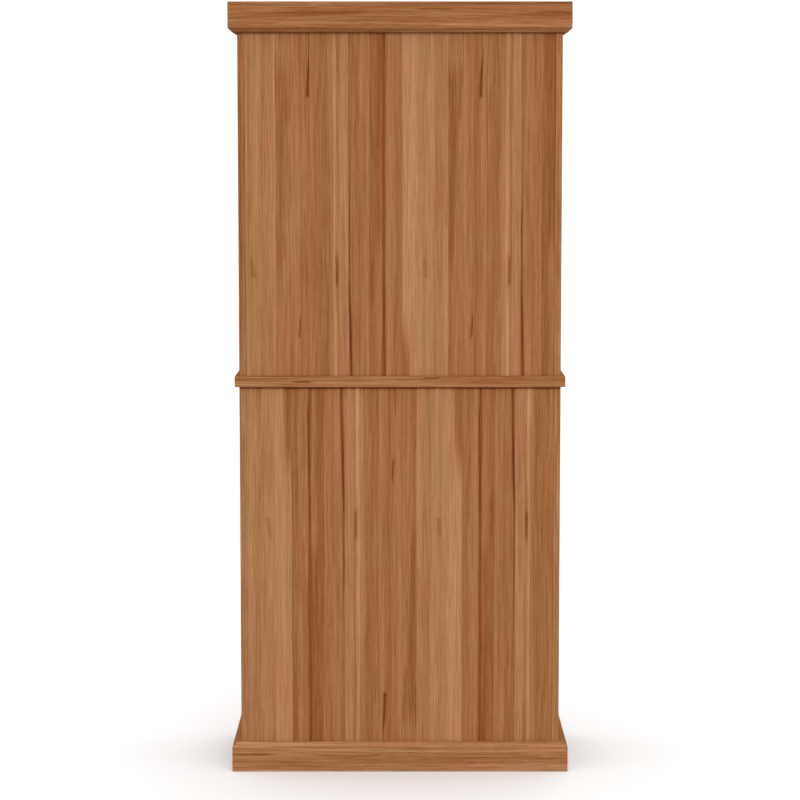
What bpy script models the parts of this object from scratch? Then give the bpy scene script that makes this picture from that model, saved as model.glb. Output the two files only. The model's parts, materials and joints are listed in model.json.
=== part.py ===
"""Two-section pantry cabinet in solid wood, as an assembly of separate pieces.

The cabinet stands on z = 0 and its front faces -Y. A lower and an upper carcass
are parted by a waist board that runs through. A mitred crown wraps the top and a
mitred plinth wraps the base. Each section has a pair of inset frame-and-panel
doors on butt hinges, a turned knob on each door, two shelves on cleats and one
double magnetic catch. Left and right are named as seen from the front.
"""

import math

import bmesh
import bpy
from mathutils import Vector

# Overall and carcass sizes, in metres.
HEIGHT = 1.829
CARCASS_WIDTH = 0.762
CARCASS_DEPTH = 0.362
KNOB_PROJECTION = 0.027
CONTACT_GAP = 0.0003

# Boards of the carcass.
SIDE_THICKNESS = 0.016
TOP_THICKNESS = 0.018
FLOOR_THICKNESS = 0.018
BACK_THICKNESS = 0.008
BACK_RECESS = 0.0015
WAIST_OVERHANG = 0.0105
WAIST_BOTTOM = 0.926
WAIST_TOP = 0.9514

# Mouldings that wrap the carcass.
MOULDING_THICKNESS = 0.021
CROWN_HEIGHT = 0.071
BASE_HEIGHT = 0.070
MOULDING_CHAMFER = 0.0098

# Doors.
DOOR_THICKNESS = 0.020
DOOR_SIDE_GAP = 0.002
DOOR_END_GAP = 0.0025
STILE_WIDTH = 0.058
TOP_RAIL_WIDTH = 0.058
BOTTOM_RAIL_WIDTH = 0.072
FRAME_CHAMFER = 0.004
PANEL_THICKNESS = 0.008
PANEL_SETBACK = 0.0085
GROOVE_DEPTH = 0.010
PANEL_PLAY = 0.0010
KNOB_FROM_DOOR_END = 0.120

# Butt hinges: a fixed pin in the frame leaf, a bored middle knuckle on the door leaf.
HINGE_LENGTH = 0.063
HINGE_FROM_DOOR_END = 0.090
AXIS_AHEAD = 0.0038
KNUCKLE_RADIUS = 0.0035
PIN_RADIUS = 0.0015
BORE_RADIUS = 0.0018
LEAF_THICKNESS = 0.0014
LEAF_OFFSET = 0.0002
LEAF_REACH = 0.0203
LEAF_ROOT = 0.0026
KNUCKLE_SEGMENTS = 20

# Shelves, cleats and catches.
SHELVES_PER_SECTION = 2
SHELF_THICKNESS = 0.018
SHELF_END_GAP = 0.001
SHELF_SETBACK = 0.040
CLEAT_SIZE = 0.015
CLEAT_FRONT_SETBACK = 0.012
CATCH_SIZE = Vector((0.046, 0.015, 0.030))
UPPER_CATCH_LAP = 0.012

# Knob outline. The angles are in degrees, and the slope of the foot is a share of the
# neck's height.
KNOB_FOOT_RADIUS = 0.0090
KNOB_NECK_RADIUS = 0.0058
KNOB_HEAD_RADIUS = 0.0155
KNOB_FOOT_HEIGHT = 0.0030
KNOB_NECK_HEIGHT = 0.0110
KNOB_RIM_HEIGHT = 0.0170
KNOB_DOME_ANGLES = (0, 15, 30, 45, 60, 75, 90)
KNOB_FLARE_ANGLES = (22, 45, 68)
KNOB_FOOT_SLOPE = 0.35
KNOB_SEGMENTS = 28

# Planes worked out from the sizes above. The knobs stand further forward than the
# mouldings, so the carcass sits a little behind the middle of the whole depth.
OVERALL_DEPTH = KNOB_PROJECTION + CONTACT_GAP + CARCASS_DEPTH + MOULDING_THICKNESS
REAR = OVERALL_DEPTH / 2 - MOULDING_THICKNESS
FRONT = REAR - CARCASS_DEPTH
HALF_WIDTH = CARCASS_WIDTH / 2
INNER_HALF = HALF_WIDTH - SIDE_THICKNESS
BACK_REAR = REAR - BACK_RECESS
BACK_FRONT = BACK_REAR - BACK_THICKNESS
CROWN_BOTTOM = HEIGHT - CROWN_HEIGHT
TOP_BOTTOM = HEIGHT - TOP_THICKNESS
FLOOR_TOP = BASE_HEIGHT
DOOR_REAR = FRONT + DOOR_THICKNESS
AXIS_X = INNER_HALF - DOOR_SIDE_GAP / 2
AXIS_Y = FRONT - AXIS_AHEAD
KNUCKLE_LENGTH = (HINGE_LENGTH - 2 * CONTACT_GAP) / 3
MORTISE_DEPTH = LEAF_OFFSET + LEAF_THICKNESS - DOOR_SIDE_GAP / 2 + CONTACT_GAP
CUT_MARGIN = 0.005
MORTISE_MARGIN = 0.001

SIDES = {"left": -1, "right": 1}
SECTIONS = {
    # name: (bottom and top of the carcass side, bottom and top of the door opening)
    "upper": (WAIST_TOP, TOP_BOTTOM, WAIST_TOP, CROWN_BOTTOM),
    "lower": (0.0, WAIST_BOTTOM, FLOOR_TOP, WAIST_BOTTOM),
}

for old in list(bpy.data.objects):
    bpy.data.objects.remove(old, do_unlink=True)

cabinet = bpy.data.collections.new("pantry_cabinet")
cutters = bpy.data.collections.new("cutters")
bpy.context.scene.collection.children.link(cabinet)
bpy.context.scene.collection.children.link(cutters)


def material(name, color, roughness, metallic=0.0):
    """A Principled BSDF material of one colour."""
    made = bpy.data.materials.new(name)
    made.use_nodes = True
    made.diffuse_color = (*color, 1.0)
    shader = made.node_tree.nodes["Principled BSDF"]
    shader.inputs["Base Color"].default_value = (*color, 1.0)
    shader.inputs["Roughness"].default_value = roughness
    shader.inputs["Metallic"].default_value = metallic
    return made


CASE_WOOD = material("case_wood", (0.40, 0.16, 0.060), 0.42)
MOULDING_WOOD = material("moulding_wood", (0.36, 0.13, 0.045), 0.42)
BACK_WOOD = material("back_wood", (0.42, 0.18, 0.075), 0.45)
DOOR_WOOD = material("door_wood", (0.38, 0.15, 0.055), 0.40)
SHELF_WOOD = material("shelf_wood", (0.43, 0.19, 0.085), 0.48)
BRONZE = material("dark_bronze", (0.045, 0.028, 0.020), 0.38, 0.9)
CATCH_BODY = material("catch_body", (0.12, 0.075, 0.05), 0.55)


def add(name, mesh, look, location, parent=None):
    """Adds a mesh to the cabinet at a place in the world, under a parent empty or none."""
    made = bpy.data.objects.new(name, mesh)
    mesh.materials.clear()
    mesh.materials.append(look)
    made.parent = parent
    made.location = Vector(location) - (parent.location if parent else Vector())
    cabinet.objects.link(made)
    return made


def add_cutter(name, mesh, location):
    """Adds a mesh that only shapes others, at a place in the world."""
    made = bpy.data.objects.new(name, mesh)
    made.location = location
    made.hide_render = True
    made.display_type = "WIRE"
    cutters.objects.link(made)
    return made


def combine(target, other, operation):
    """Cuts or joins another object into this one."""
    modifier = target.modifiers.new(f"{operation.lower()}_{other.name}", "BOOLEAN")
    modifier.operation = operation
    modifier.object = other


def finished_mesh(obj):
    """The mesh that an object's modifiers make, for copies that share it."""
    bpy.context.view_layer.update()
    graph = bpy.context.evaluated_depsgraph_get()
    made = bpy.data.meshes.new_from_object(obj.evaluated_get(graph))
    made.name = obj.name
    return made


def block_mesh(name, size):
    """A rectangular block centred on its origin."""
    made = bpy.data.meshes.new(name)
    shape = bmesh.new()
    bmesh.ops.create_cube(shape, size=1.0)
    bmesh.ops.scale(shape, vec=Vector(size), verts=shape.verts)
    shape.to_mesh(made)
    shape.free()
    return made


def rod_mesh(name, radius, length):
    """An upright cylinder centred on its origin."""
    made = bpy.data.meshes.new(name)
    shape = bmesh.new()
    bmesh.ops.create_cone(
        shape,
        cap_ends=True,
        segments=KNUCKLE_SEGMENTS,
        radius1=radius,
        radius2=radius,
        depth=length,
    )
    shape.to_mesh(made)
    shape.free()
    return made


def splayed_mesh(name, size, spread):
    """A block whose front (-Y) face is wider and taller by spread on every side."""
    made = bpy.data.meshes.new(name)
    shape = bmesh.new()
    bmesh.ops.create_cube(shape, size=1.0)
    bmesh.ops.scale(shape, vec=Vector(size), verts=shape.verts)
    for vertex in shape.verts:
        if vertex.co.y < 0:
            vertex.co.x += math.copysign(spread, vertex.co.x)
            vertex.co.z += math.copysign(spread, vertex.co.z)
    shape.to_mesh(made)
    shape.free()
    return made


def mitred_mesh(name, inner_length, thickness, height, chamfer, chamfer_on_top):
    """A moulding that runs along X with its show face at +Y and 45 degree mitred ends.

    Its origin is in the middle of its back face. The outer top or bottom arris is
    chamfered at 45 degrees.
    """
    made = bpy.data.meshes.new(name)
    shape = bmesh.new()
    bmesh.ops.create_cube(shape, size=1.0)
    bmesh.ops.scale(shape, vec=(inner_length, thickness, height), verts=shape.verts)
    bmesh.ops.translate(shape, vec=(0.0, thickness / 2, 0.0), verts=shape.verts)
    for vertex in shape.verts:
        if vertex.co.y > thickness / 2:
            vertex.co.x += math.copysign(thickness, vertex.co.x)
    arris_z = height / 2 if chamfer_on_top else -height / 2
    arris = [
        edge
        for edge in shape.edges
        if all(
            vertex.co.y > thickness / 2 and math.isclose(vertex.co.z, arris_z, abs_tol=1e-6)
            for vertex in edge.verts
        )
    ]
    bmesh.ops.bevel(shape, geom=arris, offset=chamfer, segments=1, affect="EDGES")
    shape.to_mesh(made)
    shape.free()
    return made


def block(name, low, high, look, parent=None):
    """A board given by its lowest and highest corners in the world."""
    low, high = Vector(low), Vector(high)
    return add(name, block_mesh(name, high - low), look, (low + high) / 2, parent)


def block_cutter(name, low, high):
    low, high = Vector(low), Vector(high)
    return add_cutter(name, block_mesh(name, high - low), (low + high) / 2)


def ordered(a, b):
    return (a, b) if a < b else (b, a)


def build_carcass():
    """The fixed boards. Returns the four sides by section and side name."""
    sides = {}
    for section, (low, high, _, _) in SECTIONS.items():
        bottom = low if low == 0.0 else low + CONTACT_GAP
        for side, sign in SIDES.items():
            x_low, x_high = ordered(sign * INNER_HALF, sign * HALF_WIDTH)
            sides[section, side] = block(
                f"{section}_{side}_side",
                (x_low, FRONT, bottom),
                (x_high, REAR, high - CONTACT_GAP),
                CASE_WOOD,
            )
    between = INNER_HALF - CONTACT_GAP
    block(
        "top_board",
        (-HALF_WIDTH, FRONT, TOP_BOTTOM),
        (HALF_WIDTH, REAR, HEIGHT),
        CASE_WOOD,
    )
    block(
        "top_rail",
        (-between, FRONT, CROWN_BOTTOM),
        (between, DOOR_REAR, TOP_BOTTOM - CONTACT_GAP),
        CASE_WOOD,
    )
    block(
        "waist_board",
        (-HALF_WIDTH - WAIST_OVERHANG, FRONT - WAIST_OVERHANG, WAIST_BOTTOM),
        (HALF_WIDTH + WAIST_OVERHANG, REAR + WAIST_OVERHANG, WAIST_TOP),
        MOULDING_WOOD,
    )
    block(
        "floor_board",
        (-between, FRONT, FLOOR_TOP - FLOOR_THICKNESS),
        (between, BACK_FRONT - CONTACT_GAP, FLOOR_TOP),
        CASE_WOOD,
    )
    return sides


def build_backs():
    """The two back panels, let in between the sides and set slightly in."""
    reach = INNER_HALF - CONTACT_GAP
    block(
        "upper_back_panel",
        (-reach, BACK_FRONT, WAIST_TOP + CONTACT_GAP),
        (reach, BACK_REAR, TOP_BOTTOM - CONTACT_GAP),
        BACK_WOOD,
    )
    block(
        "lower_back_panel",
        (-reach, BACK_FRONT, FLOOR_TOP - FLOOR_THICKNESS),
        (reach, BACK_REAR, WAIST_BOTTOM - CONTACT_GAP),
        BACK_WOOD,
    )


def build_moulding(prefix, bottom, height, chamfer_on_top):
    """Four mitred boards round the carcass, each a hair off it and off its neighbours."""
    thickness = MOULDING_THICKNESS - CONTACT_GAP
    middle_y = (FRONT + REAR) / 2
    runs = {
        # name: (turn about Z, half the length it covers, X and Y of the face it wraps)
        "rear": (0.0, HALF_WIDTH, (0.0, REAR)),
        "left": (math.pi / 2, CARCASS_DEPTH / 2, (-HALF_WIDTH, middle_y)),
        "front": (math.pi, HALF_WIDTH, (0.0, FRONT)),
        "right": (-math.pi / 2, CARCASS_DEPTH / 2, (HALF_WIDTH, middle_y)),
    }
    for side, (turn, half_length, (x, y)) in runs.items():
        name = f"{prefix}_{side}"
        outward = Vector((-math.sin(turn), math.cos(turn), 0.0))
        mesh = mitred_mesh(
            name,
            2 * half_length,
            thickness,
            height,
            MOULDING_CHAMFER,
            chamfer_on_top,
        )
        place = Vector((x, y, bottom + height / 2)) + outward * CONTACT_GAP
        board = add(name, mesh, MOULDING_WOOD, place)
        board.rotation_euler.z = turn


def shelf_levels(section):
    """Heights of the middles of a section's shelves, which part it into equal spaces."""
    low = WAIST_TOP if section == "upper" else FLOOR_TOP
    high = TOP_BOTTOM if section == "upper" else WAIST_BOTTOM
    pitch = (high - low) / (SHELVES_PER_SECTION + 1)
    return [low + pitch * (n + 1) for n in range(SHELVES_PER_SECTION)]


def build_shelves(section):
    """Loose shelves, each lying on a pair of cleats fixed to the sides."""
    reach = INNER_HALF - SHELF_END_GAP
    shelf_front = FRONT + SHELF_SETBACK
    shelf_rear = BACK_FRONT - 2 * CONTACT_GAP
    for n, level in enumerate(shelf_levels(section), start=1):
        shelf_bottom = level - SHELF_THICKNESS / 2
        block(
            f"{section}_shelf_{n}",
            (-reach, shelf_front, shelf_bottom),
            (reach, shelf_rear, shelf_bottom + SHELF_THICKNESS),
            SHELF_WOOD,
        )
        cleat_top = shelf_bottom - CONTACT_GAP
        for side, sign in SIDES.items():
            outer = sign * (INNER_HALF - CONTACT_GAP)
            x_low, x_high = ordered(outer - sign * CLEAT_SIZE, outer)
            block(
                f"{section}_shelf_{n}_{side}_cleat",
                (x_low, shelf_front + CLEAT_FRONT_SETBACK, cleat_top - CLEAT_SIZE),
                (x_high, shelf_rear, cleat_top),
                SHELF_WOOD,
            )


def build_catches():
    """One double magnetic catch a section, against the backs of its two doors."""
    tops = {
        "upper": CROWN_BOTTOM + UPPER_CATCH_LAP,
        "lower": WAIST_BOTTOM - CONTACT_GAP,
    }
    near = DOOR_REAR + CONTACT_GAP
    for section, top in tops.items():
        block(
            f"{section}_catch",
            (-CATCH_SIZE.x / 2, near, top - CATCH_SIZE.z),
            (CATCH_SIZE.x / 2, near + CATCH_SIZE.y, top),
            CATCH_BODY,
        )


def door_span(section):
    """Bottom and top of a section's doors."""
    low, high = SECTIONS[section][2:]
    return low + DOOR_END_GAP, high - DOOR_END_GAP


def build_door(section, side):
    """A frame with a panel held in its groove. Returns the frame and its axis empty."""
    sign = SIDES[side]
    bottom, top = door_span(section)
    axis = bpy.data.objects.new(f"{section}_{side}_door_axis", None)
    axis.location = (sign * AXIS_X, AXIS_Y, bottom)
    cabinet.objects.link(axis)

    x_low, x_high = ordered(sign * DOOR_SIDE_GAP / 2, sign * (INNER_HALF - DOOR_SIDE_GAP))
    name = f"{section}_{side}_door"
    frame = block(
        f"{name}_frame", (x_low, FRONT, bottom), (x_high, DOOR_REAR, top), DOOR_WOOD, axis
    )
    open_low = Vector((x_low + STILE_WIDTH, FRONT, bottom + BOTTOM_RAIL_WIDTH))
    open_high = Vector((x_high - STILE_WIDTH, DOOR_REAR, top - TOP_RAIL_WIDTH))
    through = Vector((0.0, CUT_MARGIN, 0.0))
    opening = block_cutter(f"{name}_opening", open_low - through, open_high + through)
    combine(frame, opening, "DIFFERENCE")

    splay_depth = FRAME_CHAMFER + CUT_MARGIN
    open_size = open_high - open_low
    chamfer = add_cutter(
        f"{name}_chamfer",
        splayed_mesh(
            f"{name}_chamfer", (open_size.x, splay_depth, open_size.z), splay_depth
        ),
        (
            (open_low.x + open_high.x) / 2,
            FRONT + FRAME_CHAMFER - splay_depth / 2,
            (open_low.z + open_high.z) / 2,
        ),
    )
    combine(frame, chamfer, "DIFFERENCE")

    panel_front = FRONT + PANEL_SETBACK
    panel_rear = panel_front + PANEL_THICKNESS
    into = Vector((GROOVE_DEPTH, 0.0, GROOVE_DEPTH))
    groove_low = open_low - into
    groove_high = open_high + into
    groove_low.y = panel_front - CONTACT_GAP
    groove_high.y = panel_rear + CONTACT_GAP
    combine(frame, block_cutter(f"{name}_groove", groove_low, groove_high), "DIFFERENCE")

    play = Vector((PANEL_PLAY, 0.0, PANEL_PLAY))
    panel_low = groove_low + play
    panel_high = groove_high - play
    panel_low.y, panel_high.y = panel_front, panel_rear
    block(f"{name}_panel", panel_low, panel_high, DOOR_WOOD, axis)
    return frame, axis


def knob_mesh():
    """A turned knob that stands up +Z from its foot: foot, hollow neck and domed head."""
    head_top = KNOB_PROJECTION
    dome_height = head_top - KNOB_RIM_HEIGHT
    neck_run = KNOB_NECK_HEIGHT - KNOB_FOOT_HEIGHT
    flare = KNOB_HEAD_RADIUS - KNOB_NECK_RADIUS
    flare_run = KNOB_RIM_HEIGHT - KNOB_NECK_HEIGHT

    dome = [
        (KNOB_HEAD_RADIUS * math.sin(turn), KNOB_RIM_HEIGHT + dome_height * math.cos(turn))
        for turn in map(math.radians, KNOB_DOME_ANGLES)
    ]
    under = [
        (
            KNOB_NECK_RADIUS + flare * (1 - math.sin(turn)),
            KNOB_NECK_HEIGHT + flare_run * math.cos(turn),
        )
        for turn in map(math.radians, KNOB_FLARE_ANGLES)
    ]
    foot = [
        (KNOB_NECK_RADIUS, KNOB_FOOT_HEIGHT + neck_run * KNOB_FOOT_SLOPE),
        (KNOB_FOOT_RADIUS, KNOB_FOOT_HEIGHT),
        (KNOB_FOOT_RADIUS, 0.0),
        (0.0, 0.0),
    ]
    outline = dome + under + foot

    mesh = bpy.data.meshes.new("knob_outline")
    shape = bmesh.new()
    points = [shape.verts.new((radius, 0.0, z)) for radius, z in outline]
    for first, second in zip(points, points[1:]):
        shape.edges.new((first, second))
    shape.to_mesh(mesh)
    shape.free()

    turned = add_cutter("knob_outline", mesh, (0.0, 0.0, 0.0))
    screw = turned.modifiers.new("turn", "SCREW")
    screw.steps = KNOB_SEGMENTS
    screw.render_steps = KNOB_SEGMENTS
    screw.use_merge_vertices = True
    screw.merge_threshold = 0.0001
    made = finished_mesh(turned)
    made.shade_smooth()
    made.set_sharp_from_angle(angle=math.radians(35))
    bpy.data.objects.remove(turned, do_unlink=True)
    return made


def build_knob(section, side, mesh, axis):
    """A knob on the meeting stile, low on an upper door and high on a lower one."""
    bottom, top = door_span(section)
    height = bottom + KNOB_FROM_DOOR_END if section == "upper" else top - KNOB_FROM_DOOR_END
    x = SIDES[side] * (DOOR_SIDE_GAP / 2 + STILE_WIDTH / 2)
    knob = add(
        f"{section}_{side}_door_knob", mesh, BRONZE, (x, FRONT - CONTACT_GAP, height), axis
    )
    knob.rotation_euler.x = math.pi / 2


def leaf_mesh(name, knuckle_heights, cleared_heights, x_low):
    """One leaf of a hinge, about the hinge's axis, for the left side of the cabinet.

    The plate lies at x_low and runs back (+Y) from the axis. It carries knuckles at
    some heights and stands clear of the other leaf's knuckles at the rest.
    """
    plate_low = Vector((x_low, LEAF_ROOT, -HINGE_LENGTH / 2))
    plate_high = Vector((x_low + LEAF_THICKNESS, LEAF_REACH, HINGE_LENGTH / 2))
    leaf = add_cutter(
        name, block_mesh(name, plate_high - plate_low), (plate_low + plate_high) / 2
    )
    helpers = []
    for height in cleared_heights:
        half = KNUCKLE_LENGTH / 2 + CONTACT_GAP
        clear = KNUCKLE_RADIUS + CONTACT_GAP
        helper = block_cutter(
            f"{name}_clearance",
            (-clear, -clear, height - half),
            (clear, clear, height + half),
        )
        combine(leaf, helper, "DIFFERENCE")
        helpers.append(helper)
    for height in knuckle_heights:
        knuckle = rod_mesh(f"{name}_knuckle", KNUCKLE_RADIUS, KNUCKLE_LENGTH)
        helper = add_cutter(f"{name}_knuckle", knuckle, (0.0, 0.0, height))
        combine(leaf, helper, "UNION")
        helpers.append(helper)
    return leaf, helpers


def hinge_meshes():
    """The frame leaf with its pin, and the door leaf with its bore, for the left side."""
    pitch = KNUCKLE_LENGTH + CONTACT_GAP
    outer, middle = (-pitch, pitch), (0.0,)

    frame_leaf, frame_helpers = leaf_mesh(
        "frame_leaf", outer, middle, -LEAF_OFFSET - LEAF_THICKNESS
    )
    pin = add_cutter(
        "pin", rod_mesh("pin", PIN_RADIUS, HINGE_LENGTH - KNUCKLE_LENGTH), (0.0, 0.0, 0.0)
    )
    combine(frame_leaf, pin, "UNION")

    door_leaf, door_helpers = leaf_mesh("door_leaf", middle, outer, LEAF_OFFSET)
    bore = add_cutter("bore", rod_mesh("bore", BORE_RADIUS, HINGE_LENGTH), (0.0, 0.0, 0.0))
    combine(door_leaf, bore, "DIFFERENCE")

    meshes = []
    for leaf in (frame_leaf, door_leaf):
        mesh = finished_mesh(leaf)
        for vertex in mesh.vertices:
            vertex.co += leaf.location
        meshes.append(mesh)
    for helper in (frame_leaf, door_leaf, pin, bore, *frame_helpers, *door_helpers):
        bpy.data.objects.remove(helper, do_unlink=True)
    return meshes


def build_hinges(section, side, leaves, case_side, frame, axis):
    """Two hinges a door, each leaf let into its own mortise.

    A hinge is the same upside down, so the right-hand ones are the left-hand ones
    turned half round about Y.
    """
    frame_mesh, door_mesh = leaves
    sign = SIDES[side]
    bottom, top = door_span(section)
    heights = {
        "bottom": bottom + HINGE_FROM_DOOR_END,
        "top": top - HINGE_FROM_DOOR_END,
    }
    for end, height in heights.items():
        name = f"{section}_{side}_{end}_hinge"
        centre = (sign * AXIS_X, AXIS_Y, height)
        frame_leaf = add(f"{name}_frame_leaf", frame_mesh, BRONZE, centre)
        door_leaf = add(f"{name}_door_leaf", door_mesh, BRONZE, centre, axis)
        if side == "right":
            frame_leaf.rotation_euler.y = math.pi
            door_leaf.rotation_euler.y = math.pi

        half = HINGE_LENGTH / 2 + CONTACT_GAP
        y_low = FRONT - CUT_MARGIN
        y_high = AXIS_Y + LEAF_REACH + CONTACT_GAP
        seams = {
            # the face that the mortise starts from, and which way it goes in
            "case": (case_side, sign * INNER_HALF, sign),
            "door": (frame, sign * (INNER_HALF - DOOR_SIDE_GAP), -sign),
        }
        for where, (board, face, into) in seams.items():
            x_low, x_high = ordered(face - into * MORTISE_MARGIN, face + into * MORTISE_DEPTH)
            mortise = block_cutter(
                f"{name}_{where}_mortise",
                (x_low, y_low, height - half),
                (x_high, y_high, height + half),
            )
            combine(board, mortise, "DIFFERENCE")


def build_cabinet():
    case_sides = build_carcass()
    build_backs()
    build_moulding("crown", CROWN_BOTTOM, CROWN_HEIGHT, chamfer_on_top=False)
    build_moulding("base", 0.0, BASE_HEIGHT, chamfer_on_top=True)
    build_catches()
    knob = knob_mesh()
    leaves = hinge_meshes()
    for section in SECTIONS:
        build_shelves(section)
        for side in SIDES:
            frame, axis = build_door(section, side)
            build_knob(section, side, knob, axis)
            build_hinges(section, side, leaves, case_sides[section, side], frame, axis)
    bpy.context.view_layer.update()


build_cabinet()
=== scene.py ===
"""Looks of the two-section pantry cabinet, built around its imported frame.

Boards, panels and mouldings are the frame's own nodes with softened edges and wood
grain. Door frames, knobs and hinges are replaced by finer pieces in the same places,
and screws, magnets and strike plates are added. Lengths are in metres and wood
patterns in millimetres. The cabinet's rear faces +Y, where the main camera stands.
"""

import itertools
import json
import math

import bmesh
import bpy
from mathutils import Matrix, Vector


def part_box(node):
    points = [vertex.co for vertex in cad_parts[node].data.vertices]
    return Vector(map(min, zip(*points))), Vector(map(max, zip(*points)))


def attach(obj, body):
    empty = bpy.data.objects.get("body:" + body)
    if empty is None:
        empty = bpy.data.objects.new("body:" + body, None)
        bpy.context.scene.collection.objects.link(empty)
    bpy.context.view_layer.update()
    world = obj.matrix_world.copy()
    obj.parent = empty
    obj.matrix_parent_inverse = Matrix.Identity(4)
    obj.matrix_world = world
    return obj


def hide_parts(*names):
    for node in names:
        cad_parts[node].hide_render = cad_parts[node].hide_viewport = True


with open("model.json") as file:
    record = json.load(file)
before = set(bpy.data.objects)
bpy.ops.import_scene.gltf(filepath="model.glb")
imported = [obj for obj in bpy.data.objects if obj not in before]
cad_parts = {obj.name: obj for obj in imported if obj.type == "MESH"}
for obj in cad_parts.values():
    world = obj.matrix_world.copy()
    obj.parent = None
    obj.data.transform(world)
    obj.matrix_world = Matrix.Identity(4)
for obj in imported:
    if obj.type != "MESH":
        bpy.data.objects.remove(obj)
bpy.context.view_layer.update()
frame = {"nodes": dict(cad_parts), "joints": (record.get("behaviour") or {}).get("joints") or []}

NODES = frame["nodes"]
MM = 1000.0
SIDES = {"left": -1, "right": 1}
SECTIONS = ("upper", "lower")
DOORS = [(section, side) for section in SECTIONS for side in SIDES]

# Planes of the carcass, from the frame.
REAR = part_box("upper_left_side")[1].y
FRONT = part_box("upper_left_side")[0].y
DOOR_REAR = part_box("upper_left_door_frame")[1].y

# Camera, fitted to the photograph's outlines.
CAMERA_DISTANCE = 5.993
CAMERA_HEIGHT = 1.5098
CAMERA_PITCH = math.radians(5.863)
CAMERA_LENS = 114.27

# Light and floor.
SKY_LOW = 0.62
SKY_RISE = 0.26
SKY_SEEN = 1.1
# Lamps: turn, rise and width in degrees, and strength.
LAMPS = (
    ("key", 5.0, 14.0, 34.0, 1.38),
    ("fill", 168.0, 6.0, 36.0, 1.2),
    ("overhead", 0.0, 90.0, 30.0, 1.0),
)
FLOOR_SIZE = 80.0
FLOOR_SEEN = 0.88
FLOOR_BOUNCE = 0.42

# Tone is how light the wood looks, on a scale of 0 to 255. These are its colours at
# some tones. Dark wood is redder and light wood yellower.
WOOD_COLOURS = (
    (60, (0.143, 0.035, 0.015)),
    (70, (0.179, 0.048, 0.016)),
    (82, (0.218, 0.068, 0.019)),
    (94, (0.262, 0.095, 0.028)),
    (106, (0.315, 0.125, 0.044)),
    (118, (0.360, 0.160, 0.064)),
    (130, (0.411, 0.196, 0.089)),
    (142, (0.483, 0.236, 0.113)),
    (160, (0.575, 0.306, 0.154)),
)
TONE_LOW, TONE_SPAN = 60.0, 100.0
# What the wood's colour is multiplied by where it is pinkest and most golden.
PINKISH = (1.04, 0.945, 0.965)
GOLDEN = (0.97, 1.04, 0.955)
HUE_REACH = 0.28

# The back panels' pattern of staves, which repeats across them. Each band runs from
# the end of the one before it to a place in mm, with its tone.
PATTERN_WIDTH = 406.5
PATTERN_BANDS = (
    (38, 134), (75, 126), (95, 122), (104, 125), (108, 133),
    (142, 117), (144, 108), (165, 117), (182, 111), (189, 113), (199, 118), (201, 107), (235, 112),
    (244, 118), (252, 133), (259, 115), (280, 128), (283.5, 106),
    (329, 114), (345, 102), (359, 99), (367, 86),
    (391, 116), (406.5, 109),
)
BAND_SOFTNESS = 0.9
# Streaks of the pattern: across at the start and end, along at the start and end,
# half width at the start and end, all in mm, then the change of tone, and the shares
# of the length over which it comes and goes.
PATTERN_MARKS = (
    # broad marks in two light staves, and a short streak
    ((4, 6), (640, 980), (11, 20), -34, (0.4, 0.1)),
    ((246, 250), (770, 1040), (13, 14), 9, (0.2, 0.1)),
    ((51, 56), (508, 580), (2, 9), -15, (0.5, 0.12)),
    # the first dark stave and the joint after it
    ((126, 126), (50, 270), (22, 18), -14, (0.3, 0.45)),
    ((119, 114), (170, 640), (14, 5), -15, (0.2, 0.3)),
    ((110, 110), (45, 200), (1.2, 1.2), -18, (0.3, 0.3)),
    ((143, 143), (-30, 158), (1.5, 1.0), -12, (0.1, 0.2)),
    # the drop-shaped streak, and short ones in the staves beside it
    ((187.5, 187), (-30, 110), (1.6, 1.8), -22, (0.1, 0.2)),
    ((187, 184.5), (45, 156), (2.8, 5.0), -42, (0.45, 0.08)),
    ((208, 206), (120, 210), (1.6, 1.2), -13, (0.3, 0.3)),
    ((202, 200), (185, 330), (1.2, 1.2), -10, (0.2, 0.5)),
    ((229, 227), (225, 345), (2.0, 1.2), -12, (0.3, 0.3)),
    ((167, 163), (655, 722), (2.2, 3.6), -30, (0.4, 0.15)),
    ((158, 162), (800, 900), (3.0, 4.0), -17, (0.3, 0.2)),
    ((202, 203), (810, 900), (1.4, 1.4), -14, (0.3, 0.2)),
    # the golden line with its dark spot, and the dark line of the joint after it
    ((246, 247), (330, 620), (2.2, 2.4), 7, (0.2, 0.2)),
    ((249, 253), (600, 960), (2.6, 3.0), 8, (0.2, 0.1)),
    ((250, 251), (500, 610), (6.0, 8.0), -12, (0.3, 0.25)),
    ((253, 254), (515, 602), (3.4, 4.4), -22, (0.3, 0.25)),
    ((281, 281.5), (110, 560), (1.5, 2.0), -12, (0.4, 0.2)),
    ((282, 283), (300, 800), (1.8, 2.8), -20, (0.3, 0.2)),
    ((282, 290), (560, 980), (2.4, 5.0), -34, (0.25, 0.1)),
    # the dark staves after it
    ((297, 295), (190, 300), (1.8, 1.2), -12, (0.3, 0.3)),
    ((322, 320), (200, 310), (1.8, 1.2), -14, (0.3, 0.3)),
    ((284, 285), (180, 330), (2.2, 1.6), -9, (0.3, 0.3)),
    ((322, 321), (560, 640), (1.6, 1.6), -11, (0.3, 0.3)),
    ((352, 352), (440, 960), (10, 8), 17, (0.2, 0.1)),
    ((363, 363), (-30, 110), (3.0, 2.2), -9, (0.1, 0.5)),
    ((362, 367), (540, 845), (2.8, 4.0), -15, (0.2, 0.06)),
)
# Staves redder than the rest, in the same form, with a share of the reddest in place of
# the change of tone.
PATTERN_REDNESS = (
    ((165, 165), (-60, 1100), (64, 60), 0.10, (0.02, 0.02)),
    ((345, 345), (-60, 1100), (52, 52), 0.09, (0.02, 0.02)),
)
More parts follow.
